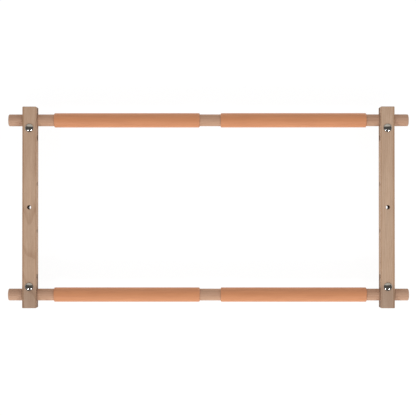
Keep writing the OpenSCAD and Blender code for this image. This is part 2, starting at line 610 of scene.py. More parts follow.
@dataclass(frozen=True)
class WorkedBeech(Beech):
    """Beech of a side arm: darker along its edges, with painted shade in its holes and saw cuts.

    Attributes:
        outwards: Which way along X the arm's outer side faces.
        end_greying: How much greyer and darker the bottom and the top end are, 0 to 1.
        half_width: Half the arm's width.
        half_thick: Half its thickness.
        cross_holes: Holes from side to side.
        face_hole: The hole through the middle of its front.
        bolt: Place of each clamping bolt, where the saw cut is narrowest.
        cut_root: Place of each saw cut's root.
        cut_widths: Width of the cut at its root, at the bolt and at its mouth.
        edge_band: How far inside the four edges the darkening starts, and is full.
        edge_share: How strong it is there.
        outer_edge_band: The same for the two outer edges, which are darkened more.
        outer_edge_share: How strong it is there.
        brown: The darkening's tint.
        grip: Places along the arm where the greyed ends start, and are full.
        grey: The greying's tint.
        hole_shade: Colour of the painted shade in the holes and saw cuts.
        hole_shade_share: How much of it shows.
        bore_fade: Width over which the painted shade round a hole dies out.
        cut_fade: How far beyond a cut's walls the painted shade ends, and is full.
        root_fade: Length over which it sets in at the cut's root.
    """

    outwards: int = 1
    end_greying: Point2 = (1.0, 0.0)
    half_width: float = LAYOUT.arm_width / 2
    half_thick: float = LAYOUT.arm_thick / 2
    cross_holes: Tuple[Bore, ...] = (
        Bore(LAYOUT.roller_pitch / 2, 9.06, 1.3),
        Bore(LAYOUT.relief_hole, 4.5),
        Bore(35.5, 2.65),
    )
    face_hole: Bore = Bore(0.0, 3.0, burn=0.6)
    bolt: float = LAYOUT.bolt
    cut_root: float = LAYOUT.relief_hole
    cut_widths: Point3 = (3.6, 2.6, 6.0)
    edge_band: Point2 = (1.9, 0.9)
    edge_share: float = 0.45
    outer_edge_band: Point2 = (3.4, 1.6)
    outer_edge_share: float = 0.85
    brown: Colour = (0.8, 0.7, 0.6)
    grip: Point2 = (114.0, 124.0)
    grey: Colour = (0.775, 0.775, 0.8)
    # Painted shade: the dark colour laid into the holes and saw cuts, where shade falls in them.
    hole_shade: Colour = linear(48, 31, 21)
    hole_shade_share: float = 0.9
    bore_fade: float = 0.5
    cut_fade: Point2 = (0.9, 0.2)
    root_fade: float = 0.1

    def worked(self, bench: Bench, colour: Wire, place: WoodPlace) -> Tuple[Wire, Operand]:
        """Darkens the long edges, greys the ends and paints shade into the holes and saw cuts.

        Args:
            bench: The material's bench.
            colour: The clean wood's colour.
            place: The place in the arm.

        Returns:
            The colour, and how far the painted shade in holes and saw cuts covers the wood, 0 to 1.
        """
        side, grain, deep = place
        # Darker along the long edges, the two outer ones more.
        corner = self.half_width + self.half_thick
        edge = (abs(side) + abs(deep)).step(*(corner - inside for inside in self.edge_band))
        outer_edge = side * self.outwards + abs(deep)
        held = outer_edge.step(*(corner - inside for inside in self.outer_edge_band))
        edge_darkening = bench.math("MAXIMUM", edge * self.edge_share, held * self.outer_edge_share)
        colour = bench.mix(edge_darkening, colour, self.brown, Blend.MULTIPLY)
        # Greyer and darker towards the bottom and the top end.
        bottom, top = self.end_greying
        greyed = grain.step(*(-far for far in self.grip)) * bottom + grain.step(*self.grip) * top
        colour = bench.mix(greyed, colour, self.grey, Blend.MULTIPLY)
        along = abs(grain)
        # Painted shade: the saw cuts' walls and a ring round each hole take the dark colour of
        # shade.
        hole_shade_mask = self.in_saw_cut(bench, along, deep)
        walls = [(hole, deep) for hole in self.cross_holes] + [(self.face_hole, side)]
        for bore, across in walls:
            ends_at = bore.radius + bore.reach
            off = bench.distance(along - bore.place, across)
            near = off.step(ends_at, ends_at - self.bore_fade) * bore.burn
            hole_shade_mask = bench.math("MAXIMUM", hole_shade_mask, near)
        return bench.mix(hole_shade_mask * self.hole_shade_share, colour, self.hole_shade), hole_shade_mask

    def in_saw_cut(self, bench: Bench, along: Wire, deep: Wire) -> Wire:
        """Finds the walls of the saw cuts, which widen both ways from the bolt.

        Args:
            bench: The material's bench.
            along: Distance along the arm from its middle.
            deep: Height above the middle of the cut.

        Returns:
            1 on the walls and 0 elsewhere.
        """
        root, pinch, mouth = self.cut_widths
        past_bolt = along - self.bolt
        outer = bench.math("MAXIMUM", past_bolt / (self.ends - self.bolt), 0.0)
        inner = bench.math("MINIMUM", past_bolt / (self.bolt - self.cut_root), 0.0)
        half = pinch / 2 + outer * outer * (mouth - pinch) / 2 + inner * inner * (root - pinch) / 2
        past_root = along.step(self.cut_root - self.root_fade, self.cut_root)
        return (abs(deep) - half).step(*self.cut_fade) * past_root


@dataclass(frozen=True)
class TurnedBeech(Beech):
    """Beech of a roller: a painted shade line beside each arm in a band of painted light, and a
    little grey past them.

    Attributes:
        arm: Place of the arms' middle lines each way along the roller.
        half_arm: Half an arm's width.
        lit_band_from: Distances from an arm's sides at which the band of painted light ends and is
            full.
        lit_band_tint: The painted light band's tint, which lightens the wood.
        rub_starts: Distances from an arm's sides over which the painted shade line sets in.
        rub_stops: Distances over which it dies out, the further one first.
        rub_share: How strong the painted shade line is.
        rub: Its tint.
        grey_over: Length over which the grey sets in past an arm.
        grey: The tint of the roller's ends.
    """

    arm: float = LAYOUT.arm_pitch / 2
    half_arm: float = LAYOUT.arm_width / 2
    # Painted light: a lighter band on the roller beside each arm.
    lit_band_from: Point2 = (6.0, 0.5)
    lit_band_tint: Colour = (1.12, 1.13, 1.14)
    # Painted shade: a thin dark line on the roller beside each arm.
    rub_starts: Point2 = (-0.2, 0.3)
    rub_stops: Point2 = (2.0, 1.3)
    rub_share: float = 0.6
    rub: Colour = (0.42, 0.36, 0.33)
    grey_over: float = 1.5
    grey: Colour = (0.96, 0.97, 0.985)

    def worked(self, bench: Bench, colour: Wire, place: WoodPlace) -> Tuple[Wire, Operand]:
        """Draws a painted shade line beside each arm, in a band of painted light, and greys the
        ends.

        Args:
            bench: The material's bench.
            colour: The clean wood's colour.
            place: The place in the roller.

        Returns:
            The colour, and 0 because nothing is scorched.
        """
        along = abs(place.grain)
        off_arm = abs(along - self.arm) - self.half_arm
        # Painted light: the roller is lightened a few millimetres out from each arm.
        lit_band = off_arm.step(*self.lit_band_from)
        colour = bench.mix(lit_band, colour, self.lit_band_tint, Blend.MULTIPLY)
        # Painted shade: a thin dark line beside each arm, where the arm's shadow falls on the
        # roller.
        shade_line = off_arm.step(*self.rub_starts) * off_arm.step(*self.rub_stops)
        colour = bench.mix(shade_line * self.rub_share, colour, self.rub, Blend.MULTIPLY)
        # Greyer past each arm, towards the roller's ends.
        past_arm = self.arm + self.half_arm
        held = along.step(past_arm, past_arm + self.grey_over)
        return bench.mix(held, colour, self.grey, Blend.MULTIPLY), 0.0


@dataclass(frozen=True)
class ClipPlastic(Finish):
    """Matt plastic, drawn through a die.

    Attributes:
        name: The material's name.
        colour: Its colour.
        shade: Its colour where it is a little deeper.
        lines: Faint lines along the clip.
        mottle: Soft mottling.
        skin: The fine orange-peel skin.
        rough: Roughness in the skin's hollows.
        skin_rough: What the skin adds to it.
        shine: Specular level.
        relief_depth: Depth of the skin and the lines.
    """

    name: str
    colour: Colour
    shade: Colour
    lines: Pattern = Pattern((0.004, 0.9, 0.9), detail=3.0, shows=(0.3, 0.7), share=0.45)
    mottle: Pattern = Pattern((0.03, 0.2, 0.2), detail=3.0, shows=(0.3, 0.7), share=0.55)
    skin: Pattern = Pattern(scale=1.4)
    rough: float = 0.42
    skin_rough: float = 0.12
    shine: float = 0.5
    relief_depth: float = 0.03

    def surface(self, bench: Bench) -> Wire:
        """Wires up the drawn lines, soft mottling and the skin.

        Args:
            bench: The material's bench.

        Returns:
            The shader.
        """
        place = bench.split(self.place_mm(bench))
        lines = self.lines.at(bench, *place)
        mottle = self.mottle.at(bench, *place)
        skin = self.skin.at(bench, *place)
        tone = self.lines.shown(lines) + self.mottle.shown(mottle)
        colour = bench.mix(tone, self.colour, self.shade)
        rough = self.rough + skin * self.skin_rough
        fixed = {"Specular IOR Level": self.shine}
        return self.shader(bench, colour, rough, (skin + lines) / 2, self.relief_depth, fixed)


@dataclass(frozen=True)
class BrightZinc(Finish):
    """Bright zinc plate on steel.

    Attributes:
        name: The material's name.
        rough: How matt the plate is.
        grit_depth: Depth of the blasted or cast surface under the plate.
        bright: How much light the plate sends back where it is clean.
        dulled: How much it sends back where it is blotched.
        blotch: The faint blotches.
        grit: The grains of the surface under the plate.
        blotch_rough: What the blotches add to the roughness.
        grit_rough: What the grains add to it.
    """

    name: str
    rough: float
    grit_depth: float
    bright: Colour = (0.78, 0.79, 0.80)
    dulled: Colour = (0.66, 0.66, 0.65)
    blotch: Pattern = Pattern(scale=0.5, detail=3.0, shows=(0.35, 0.7))
    grit: Pattern = Pattern(scale=2.6)
    blotch_rough: float = 0.1
    grit_rough: float = 0.05

    def surface(self, bench: Bench) -> Wire:
        """Wires up the plate's faint blotches and grit.

        Args:
            bench: The material's bench.

        Returns:
            The shader.
        """
        place = bench.split(self.place_mm(bench))
        blotch = self.blotch.at(bench, *place)
        grit = self.grit.at(bench, *place)
        colour = bench.mix(self.blotch.shown(blotch), self.bright, self.dulled)
        rough = self.rough + blotch * self.blotch_rough + grit * self.grit_rough
        return self.shader(bench, colour, rough, grit, self.grit_depth, {"Metallic": 1.0})


# Making of meshes


def new_object(name: str, mesh: bpy.types.Mesh) -> bpy.types.Object:
    """Puts a mesh into the scene as an object at the origin.

    Args:
        name: The object's name.
        mesh: The mesh.

    Returns:
        The object.
    """
    made = bpy.data.objects.new(name, mesh)
    bpy.context.scene.collection.objects.link(made)
    return made


def baked_down(source: bpy.types.Object, name: str) -> bpy.types.Object:
    """Turns an object with modifiers into a plain mesh of its own.

    Args:
        source: The object with its modifiers live. It is removed.
        name: The name of the finished piece.

    Returns:
        The finished piece, at the origin, with no modifiers.
    """
    graph = bpy.context.evaluated_depsgraph_get()
    mesh = bpy.data.meshes.new_from_object(source.evaluated_get(graph))
    mesh.name = name
    bpy.data.objects.remove(source)
    return new_object(name, mesh)


def sharpen(piece: bpy.types.Object, degrees: float) -> None:
    """Shades a piece smooth, apart from edges sharper than an angle."""
    piece.data.polygons.foreach_set("use_smooth", [True] * len(piece.data.polygons))
    piece.data.set_sharp_from_angle(angle=math.radians(degrees))


def finished(
    piece: bpy.types.Object, body: str, node: str, finish: Optional[Finish] = None
) -> None:
    """Joins a finished piece to its body and hides the construction solid that it stands for.

    Args:
        piece: The finished piece.
        body: The moving body that it rides on.
        node: The construction solid that it stands for.
        finish: Its finish, where the mesh doesn't carry it yet.
    """
    if finish is not None:
        piece.data.materials.clear()
        piece.data.materials.append(finish.material())
    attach(piece, body)
    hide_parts(node)
    log.info("%s: %d faces, rides on %s", piece.name, len(piece.data.polygons), body)


def merged_copy(node: str, flat_degrees: float = 1.0) -> bpy.types.Object:
    """Copies a construction solid with its loose triangles merged into whole faces.

    Args:
        node: The construction solid.
        flat_degrees: Faces that meet flatter than this become one.

    Returns:
        The copy, as an object of its own.
    """
    mesh = bpy.data.meshes.new(f"{node}_blank")
    shape = bmesh.new()
    shape.from_mesh(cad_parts[node].data)
    bmesh.ops.remove_doubles(shape, verts=shape.verts, dist=CAD_WELD)
    bmesh.ops.dissolve_limit(
        shape, angle_limit=math.radians(flat_degrees), verts=shape.verts, edges=shape.edges
    )
    for layer in list(shape.loops.layers.float_vector):
        shape.loops.layers.float_vector.remove(layer)
    shape.to_mesh(mesh)
    shape.free()
    for attribute in [a for a in mesh.attributes if a.name == "custom_normal"]:
        mesh.attributes.remove(attribute)
    return new_object(mesh.name, mesh)


def face_outwards(piece: bpy.types.Object) -> None:
    """Merges doubled points of a closed mesh and turns its faces outwards.

    Args:
        piece: The piece.
    """
    shape = bmesh.new()
    shape.from_mesh(piece.data)
    bmesh.ops.remove_doubles(shape, verts=shape.verts, dist=FINE_WELD)
    bmesh.ops.recalc_face_normals(shape, faces=shape.faces)
    shape.to_mesh(piece.data)
    shape.free()


def rounded(centre: Point2, radius: float, start: float, stop: float, steps: int) -> List[Point2]:
    """Points along an arc of a turned outline, between two angles in degrees."""
    turn = [math.radians(start + (stop - start) * i / steps) for i in range(steps + 1)]
    return [(centre[0] + radius * math.cos(t), centre[1] + radius * math.sin(t)) for t in turn]


def spaced(start: Point2, stop: Point2, steps: int) -> List[Point2]:
    """Points along a straight stretch of an outline, without its two ends."""
    run = (stop[0] - start[0], stop[1] - start[1])
    return [(start[0] + run[0] * i / steps, start[1] + run[1] * i / steps) for i in range(1, steps)]


@dataclass(frozen=True)
class Easing:
    """A small rounding along the sharp edges of a piece.

    Attributes:
        width: Its width.
        segments: Facets across it.
        from_degrees: Only edges sharper than this are rounded.
        clamped: True where it narrows between edges that lie close together.
    """

    width: float
    segments: int
    from_degrees: float
    clamped: bool

    def lay_on(self, piece: bpy.types.Object) -> None:
        """Adds the rounding to a piece as a live modifier.

        Args:
            piece: The piece.
        """
        bevel = piece.modifiers.new("easing", "BEVEL")
        bevel.width = self.width * MM
        bevel.segments = self.segments
        bevel.limit_method = "ANGLE"
        bevel.angle_limit = math.radians(self.from_degrees)
        bevel.use_clamp_overlap = self.clamped


@dataclass
class MeshTool:
    """A geometry tree with named inputs, which works blanks into pieces.

    Attributes:
        name: The tree's name.
        inputs: The identifier of each input, by its name.
        sizes: The kind of each input beside the blank and the finish, by its name.
    """

    name: str
    inputs: Dict[str, str] = field(default_factory=dict, init=False)
    sizes: ClassVar[Dict[str, str]] = {}

    def __post_init__(self) -> None:
        """Builds the tree once: its inputs, the work itself, and the finish on its result."""
        self.tree = bpy.data.node_groups.new(self.name, "GeometryNodeTree")
        bench = Bench(self.tree)
        face = self.tree.interface
        face.new_socket("Blank", in_out="INPUT", socket_type="NodeSocketGeometry")
        for label, kind in {**self.sizes, "Finish": "NodeSocketMaterial"}.items():
            made = face.new_socket(label, in_out="INPUT", socket_type=kind)
            self.inputs[label] = made.identifier
        face.new_socket("Piece", in_out="OUTPUT", socket_type="NodeSocketGeometry")
        start = bench.add("NodeGroupInput")
        given = {label: bench.wire(start, label) for label in ("Blank", *self.inputs)}
        worked = self.work(bench, given)
        whole = bench.get("GeometryNodeRealizeInstances", {}, {"Geometry": worked})
        feeds = {"Geometry": whole, "Material": given["Finish"]}
        dressed = bench.get("GeometryNodeSetMaterial", {}, feeds)
        bench.add("NodeGroupOutput", {}, {"Piece": dressed})

    def work(self, bench: Bench, given: Dict[str, Wire]) -> Wire:
        """Wires up what the tool does to a blank. Each tool has its own."""
        raise NotImplementedError

    def run(
        self, blank: bpy.types.Object, name: str, values: Dict[str, Any], finish: Finish
    ) -> bpy.types.Object:
        """Works one piece.

        Args:
            blank: What the piece is made from. It is removed.
            name: The piece's name.
            values: The tree's inputs by name, in metres and radians.
            finish: The piece's finish.

        Returns:
            The piece as a plain mesh.
        """
        tool = blank.modifiers.new(self.name, "NODES")
        tool.node_group = self.tree
        for label, value in {**values, "Finish": finish.material()}.items():
            tool[self.inputs[label]] = value
        return baked_down(blank, name)


@dataclass
class Turning(MeshTool):
    """A lathe: it carries an outline round an axis, all the way or in part.

    Attributes:
        partial: True where the outline stops short and the ends are closed flat.
        spindle: Radius of the circle that carries the outline.
        weld: Points of a turned piece nearer than this are one.
    """

    partial: bool
    spindle: float = 1.0
    weld: float = 0.0005
    sizes: ClassVar[Dict[str, str]] = {
        "Steps round": "NodeSocketInt",
        "First angle": "NodeSocketFloat",
        "Angle covered": "NodeSocketFloat",
        "Axis turn": "NodeSocketVector",
        "Place": "NodeSocketVector",
    }

    def work(self, bench: Bench, given: Dict[str, Wire]) -> Wire:
        """Carries the outline round, and lays the piece where it belongs.

        Args:
            bench: The tree's bench.
            given: The tree's inputs by name.

        Returns:
            The turned piece.
        """
        outline = bench.get("GeometryNodeMeshToCurve", {}, {"Mesh": given["Blank"]})
        path_kind = "GeometryNodeCurvePrimitiveCircle"
        feeds = {"Resolution": given["Steps round"], "Radius": self.spindle * MM}
        if self.partial:
            path_kind = "GeometryNodeCurveArc"
            feeds["Start Angle"] = given["First angle"]
            feeds["Sweep Angle"] = given["Angle covered"]
        path = bench.get(path_kind, {"mode": "RADIUS"}, feeds, "Curve")
        path = bench.get("GeometryNodeSetCurveNormal", {"mode": "Z_UP"}, {"Curve": path})
        feeds = {"Curve": path, "Profile Curve": outline, "Fill Caps": self.partial}
        turned = bench.get("GeometryNodeCurveToMesh", {}, feeds)
        feeds = {"Geometry": turned, "Distance": self.weld * MM}
        turned = bench.get("GeometryNodeMergeByDistance", {}, feeds)
        feeds = {"Geometry": turned, "Translation": given["Place"], "Rotation": given["Axis turn"]}
        return bench.get("GeometryNodeTransform", {}, feeds)

    def turn(
        self,
        name: str,
        outline: Sequence[Point2],
        closed: bool,
        place: Vector,
        axis: TurnedAxis,
        finish: Finish,
        steps: int,
        angles: Point2 = (0.0, 360.0),
    ) -> bpy.types.Object:
        """Turns one piece.

        Args:
            name: The piece's name.
            outline: Distance from the axis and place along it.
            closed: True where the outline comes back to its start.
            place: Where the middle of the axis goes.
            axis: Which way the axis runs.
            finish: The piece's finish.
            steps: Facets round the axis.
            angles: First angle and angle covered, in degrees.

        Returns:
            The turned piece, with its faces outwards.
        """
        mesh = bpy.data.meshes.new(name)
        points = [((r - self.spindle) * MM, a * MM, 0.0) for r, a in outline]
        edges = [(i, i + 1) for i in range(len(points) - 1)]
        if closed:
            edges.append((len(points) - 1, 0))
        mesh.from_pydata(points, edges, [])
        values = {
            "Steps round": steps,
            "First angle": math.radians(angles[0]),
            "Angle covered": math.radians(angles[1]),
            "Axis turn": tuple(math.radians(t) for t in axis.value),
            "Place": tuple(place * MM),
        }
        piece = self.run(new_object(f"{name}_outline", mesh), name, values, finish)
        face_outwards(piece)
        return piece


@dataclass
class ThreadRolling(MeshTool):
    """Rolls a thread into a smooth round shank.

    Attributes:
        flank: How steeply the thread's sides go down, from one that is all slope.
        crest: How much of its depth is cut off at the crests and filled at the roots.
        run_out: Length over which the thread dies out at its two ends.
        catch: Only points this near the shank's own radius are pressed in.
    """

    name: str = "thread_rolling"
    flank: float = 1.3
    crest: float = 0.15
    run_out: float = 0.8
    catch: float = 0.02
    sizes: ClassVar[Dict[str, str]] = {
        "Axis": "NodeSocketVector",
        "Radius": "NodeSocketFloat",
        "Pitch": "NodeSocketFloat",
        "Depth": "NodeSocketFloat",
        "From height": "NodeSocketFloat",
        "To height": "NodeSocketFloat",
    }

    def work(self, bench: Bench, given: Dict[str, Wire]) -> Wire:
        """Presses the shank's points in along a helix.

        Args:
            bench: The tree's bench.
            given: The tree's inputs by name.

        Returns:
            The threaded bolt.
        """

        def held(value: Wire) -> Wire:
            """The value, kept between 0 and 1."""
            return bench.math("MAXIMUM", bench.math("MINIMUM", value, 1.0), 0.0)

        x, y, z = bench.split(bench.get("GeometryNodeInputPosition"))
        axis_x, axis_y, _ = bench.split(given["Axis"])
        out_x, out_y = x - axis_x, y - axis_y
        radius = bench.distance(out_x, out_y)
        turned = bench.math("ARCTAN2", out_y, out_x) / math.tau
        phase = (z / given["Pitch"] + turned).fraction()
        groove = held(abs(phase * 2 - 1) * self.flank - self.crest)
        above = (z - given["From height"]) / (self.run_out * MM)
        below = (given["To height"] - z) / (self.run_out * MM)
        ends = held(bench.math("MINIMUM", above, below))
        on_shank = bench.math("LESS_THAN", abs(radius - given["Radius"]), self.catch * MM)
        inwards = groove * ends * on_shank * given["Depth"] / radius
        offset = bench.vector(0 - out_x * inwards, 0 - out_y * inwards, 0.0)
        feeds = {"Geometry": given["Blank"], "Offset": offset}
        return bench.get("GeometryNodeSetPosition", {}, feeds)


# Sub-assemblies


@dataclass
class SideArms:
    """The two beech arms with their split ends.

    Attributes:
        sanding: How every edge is broken with sandpaper.
        sharp_degrees: Edges sharper than this stay crisp.
        slot: The arms' material slot; not used.
    """

    sanding: Easing = Easing(0.22, 2, 28.0, clamped=True)
    sharp_degrees: float = 24.0
    slot: str = "arm_beech"

    def wood(self, side: Side) -> WorkedBeech:
        """The beech that one arm is cut from.

        Args:
            side: Which arm.

        Returns:
            Its finish.
        """
        grown: Dict[Side, Dict[str, Any]] = {
            Side.LEFT: {
                "pale": linear(192, 163, 139),
                "deep": linear(163, 130, 106),
                "pith": (0.6, -100.9),
                "lean": (-0.1, 0.038),
                "ring": 2.4,
                "bend": 12.0,
                "sway": 2.5,
                "end_greying": (0.85, 0.0),
            },
            Side.RIGHT: {
                "pale": linear(196, 168, 144),
                "deep": linear(171, 139, 115),
                "pith": (-32.0, -14.0),
                "lean": (0.02, 0.01),
                "ring": 2.3,
            },
        }
        return WorkedBeech(
            name=f"{side.label}_arm_beech",
            axis=GrainAxis.ALONG_Y,
            middle=(LAYOUT.arm_x(side), LAYOUT.mid_height),
            ends=LAYOUT.arm_length / 2,
            outwards=side.value,
            **grown[side],
        )

    def build(self) -> None:
        """Makes both arms."""
        for side in Side:
            node = f"{side.label}_arm"
            blank = merged_copy(node)
            self.sanding.lay_on(blank)
            arm = baked_down(blank, f"{side.label}_side_arm")
            sharpen(arm, self.sharp_degrees)
            finished(arm, side.body, node, self.wood(side))


@dataclass
class Rollers:
    """The two turned beech dowels.

    Attributes:
        radius: A roller's radius.
        rounding: Rounding of the edges of its ends.
        rounding_steps: Facets across that rounding.
        face_ring: Radius of the ring of points on each end's flat face.
        short_by: How much shorter than its solid each half is, to stay inside its box.
        stretches: Parts that the straight side is in.
        steps: Facets round a roller.
        sharp_degrees: Edges sharper than this stay crisp.
        slot: The rollers' material slot; not used.
    """

    radius: float = 9.0
    rounding: float = 1.8
    rounding_steps: int = 6
    face_ring: float = 3.0
    short_by: float = 0.001
    stretches: int = 40
    steps: int = 72
    sharp_degrees: float = 40.0
    slot: str = "roller_beech"

    def wood(self, end: End) -> TurnedBeech:
        """The beech that one roller is turned from.

        Args:
            end: Which roller, by the end of the arms that holds it.

        Returns:
            Its finish.
        """
        grown: Dict[End, Dict[str, Any]] = {
            End.TOP: {
                "pale": linear(196, 159, 133),
                "deep": linear(168, 127, 103),
                "pith": (-4.0, 21.0),
                "lean": (0.012, -0.006),
            },
            End.BOTTOM: {
                "pale": linear(197, 160, 134),
                "deep": linear(171, 129, 105),
                "pith": (17.0, -6.0),
                "lean": (-0.008, 0.004),
            },
        }
        return TurnedBeech(
            name=f"{end.label}_roller_beech",
            axis=GrainAxis.ALONG_X,
            middle=(LAYOUT.roller_y(end), LAYOUT.mid_height),
            ring=2.4,
            ends=LAYOUT.roller_length / 2,
            **grown[end],
        )

    def outline(self) -> List[Point2]:
        """Draws the outline of one roller.

        Returns:
            Its points, from the middle of one end to the middle of the other.
        """
        half, face, e = LAYOUT.roller_length / 2 - self.short_by, self.face_ring, self.rounding
        low = rounded((self.radius - e, -half + e), e, -90, 0, self.rounding_steps)
        high = rounded((self.radius - e, half - e), e, 0, 90, self.rounding_steps)
        side = spaced(low[-1], high[0], self.stretches)
        return [(0.0, -half), (face, -half), *low, *side, *high, (face, half), (0.0, half)]

    def build(self, lathe: Turning) -> None:
        """Turns both rollers.

        Args:
            lathe: The lathe that turns them all the way round.
        """
        for end in End:
            roller = lathe.turn(
                f"{end.label}_dowel",
                self.outline(),
                closed=False,
                place=Vector((0, LAYOUT.roller_y(end), LAYOUT.mid_height)),
                axis=TurnedAxis.ALONG_ROLLERS,
                finish=self.wood(end),
                steps=self.steps,
            )
            sharpen(roller, self.sharp_degrees)
            finished(roller, f"{end.label}_roller", f"{end.label}_roller")


@dataclass
class ClothClips:
    """The four split tubes that hold the cloth on the rollers, their slots along the back.

    Attributes:
        length: A clip's length.
        inner: Radius of its inside.
        outer: Radius of its outside.
        gap: Bare roller between its two clips.
        shift: How far right of the frame's middle that gap lies.
        slot_degrees: How much of the round the slot leaves open.
        end_rounding: Rounding of a clip's ends outside.
        end_steps: Facets across that rounding.
        inner_rounding: Rounding of its ends inside.
        inner_steps: Facets across that rounding.
        lips: Rounding of the slot's lips.
        stretches: Parts that the straight sides are in.
        steps: Facets round a clip.
        sharp_degrees: Edges sharper than this stay crisp.
        slot: The clips' material slot; not used.
    """

    length: float = 221.0
    inner: float = 9.05
    outer: float = 10.9
    gap: float = 32.0
    shift: float = 2.7
    slot_degrees: float = 66.0
    end_rounding: float = 1.3
    end_steps: int = 6
    inner_rounding: float = 0.35
    inner_steps: int = 3
    lips: Easing = Easing(0.25, 3, 50.0, clamped=False)
    stretches: int = 30
    steps: int = 96
    sharp_degrees: float = 35.0
    slot: str = "clip_plastic"

    def outline(self) -> List[Point2]:
        """Draws the section of a clip's wall.

        Returns:
            Its points, all the way round.
        """
        half = self.length / 2
        i, o, e, f = self.inner, self.outer, self.end_rounding, self.inner_rounding
        ends = [
            rounded((o - e, half - e), e, 0, 90, self.end_steps),
            rounded((i + f, half - f), f, 90, 180, self.inner_steps),
            rounded((i + f, -half + f), f, 180, 270, self.inner_steps),
            rounded((o - e, -half + e), e, 270, 360, self.end_steps),
        ]
        inside = spaced(ends[1][-1], ends[2][0], self.stretches)
        outside = spaced(ends[3][-1], ends[0][0], self.stretches)
        return ends[0] + ends[1] + inside + ends[2] + ends[3] + outside

    def build(self, bender: Turning) -> None:
        """Bends the four clips.

        Args:
            bender: The lathe that stops short of a full round.
        """
        plastic = ClipPlastic("terracotta_plastic", linear(209, 141, 97), linear(199, 132, 90))
        for side, end in CORNERS:
            label = corner_label(side, end)
            x = self.shift + side.value * (self.gap + self.length) / 2
            blank = bender.turn(
                f"{label}_cloth_clip",
                self.outline(),
                closed=True,
                place=Vector((x, LAYOUT.roller_y(end), LAYOUT.mid_height)),
                axis=TurnedAxis.ALONG_ROLLERS,
                finish=plastic,
                steps=self.steps,
                angles=(self.slot_degrees / 2, 360 - self.slot_degrees),
            )
            self.lips.lay_on(blank)
            clip = baked_down(blank, f"{label}_cloth_clip")
            sharpen(clip, self.sharp_degrees)
            finished(clip, f"{label}_clip", f"{label}_clip")


class Ring(NamedTuple):
    """One ring of points round a bolt.

    Attributes:
        height: Height of the ring.
        radius: Radius, or half the width across the flats of a square ring.
        square: 0 for round and 1 for square.
    """

    height: float
    radius: float
    square: float = 0.0


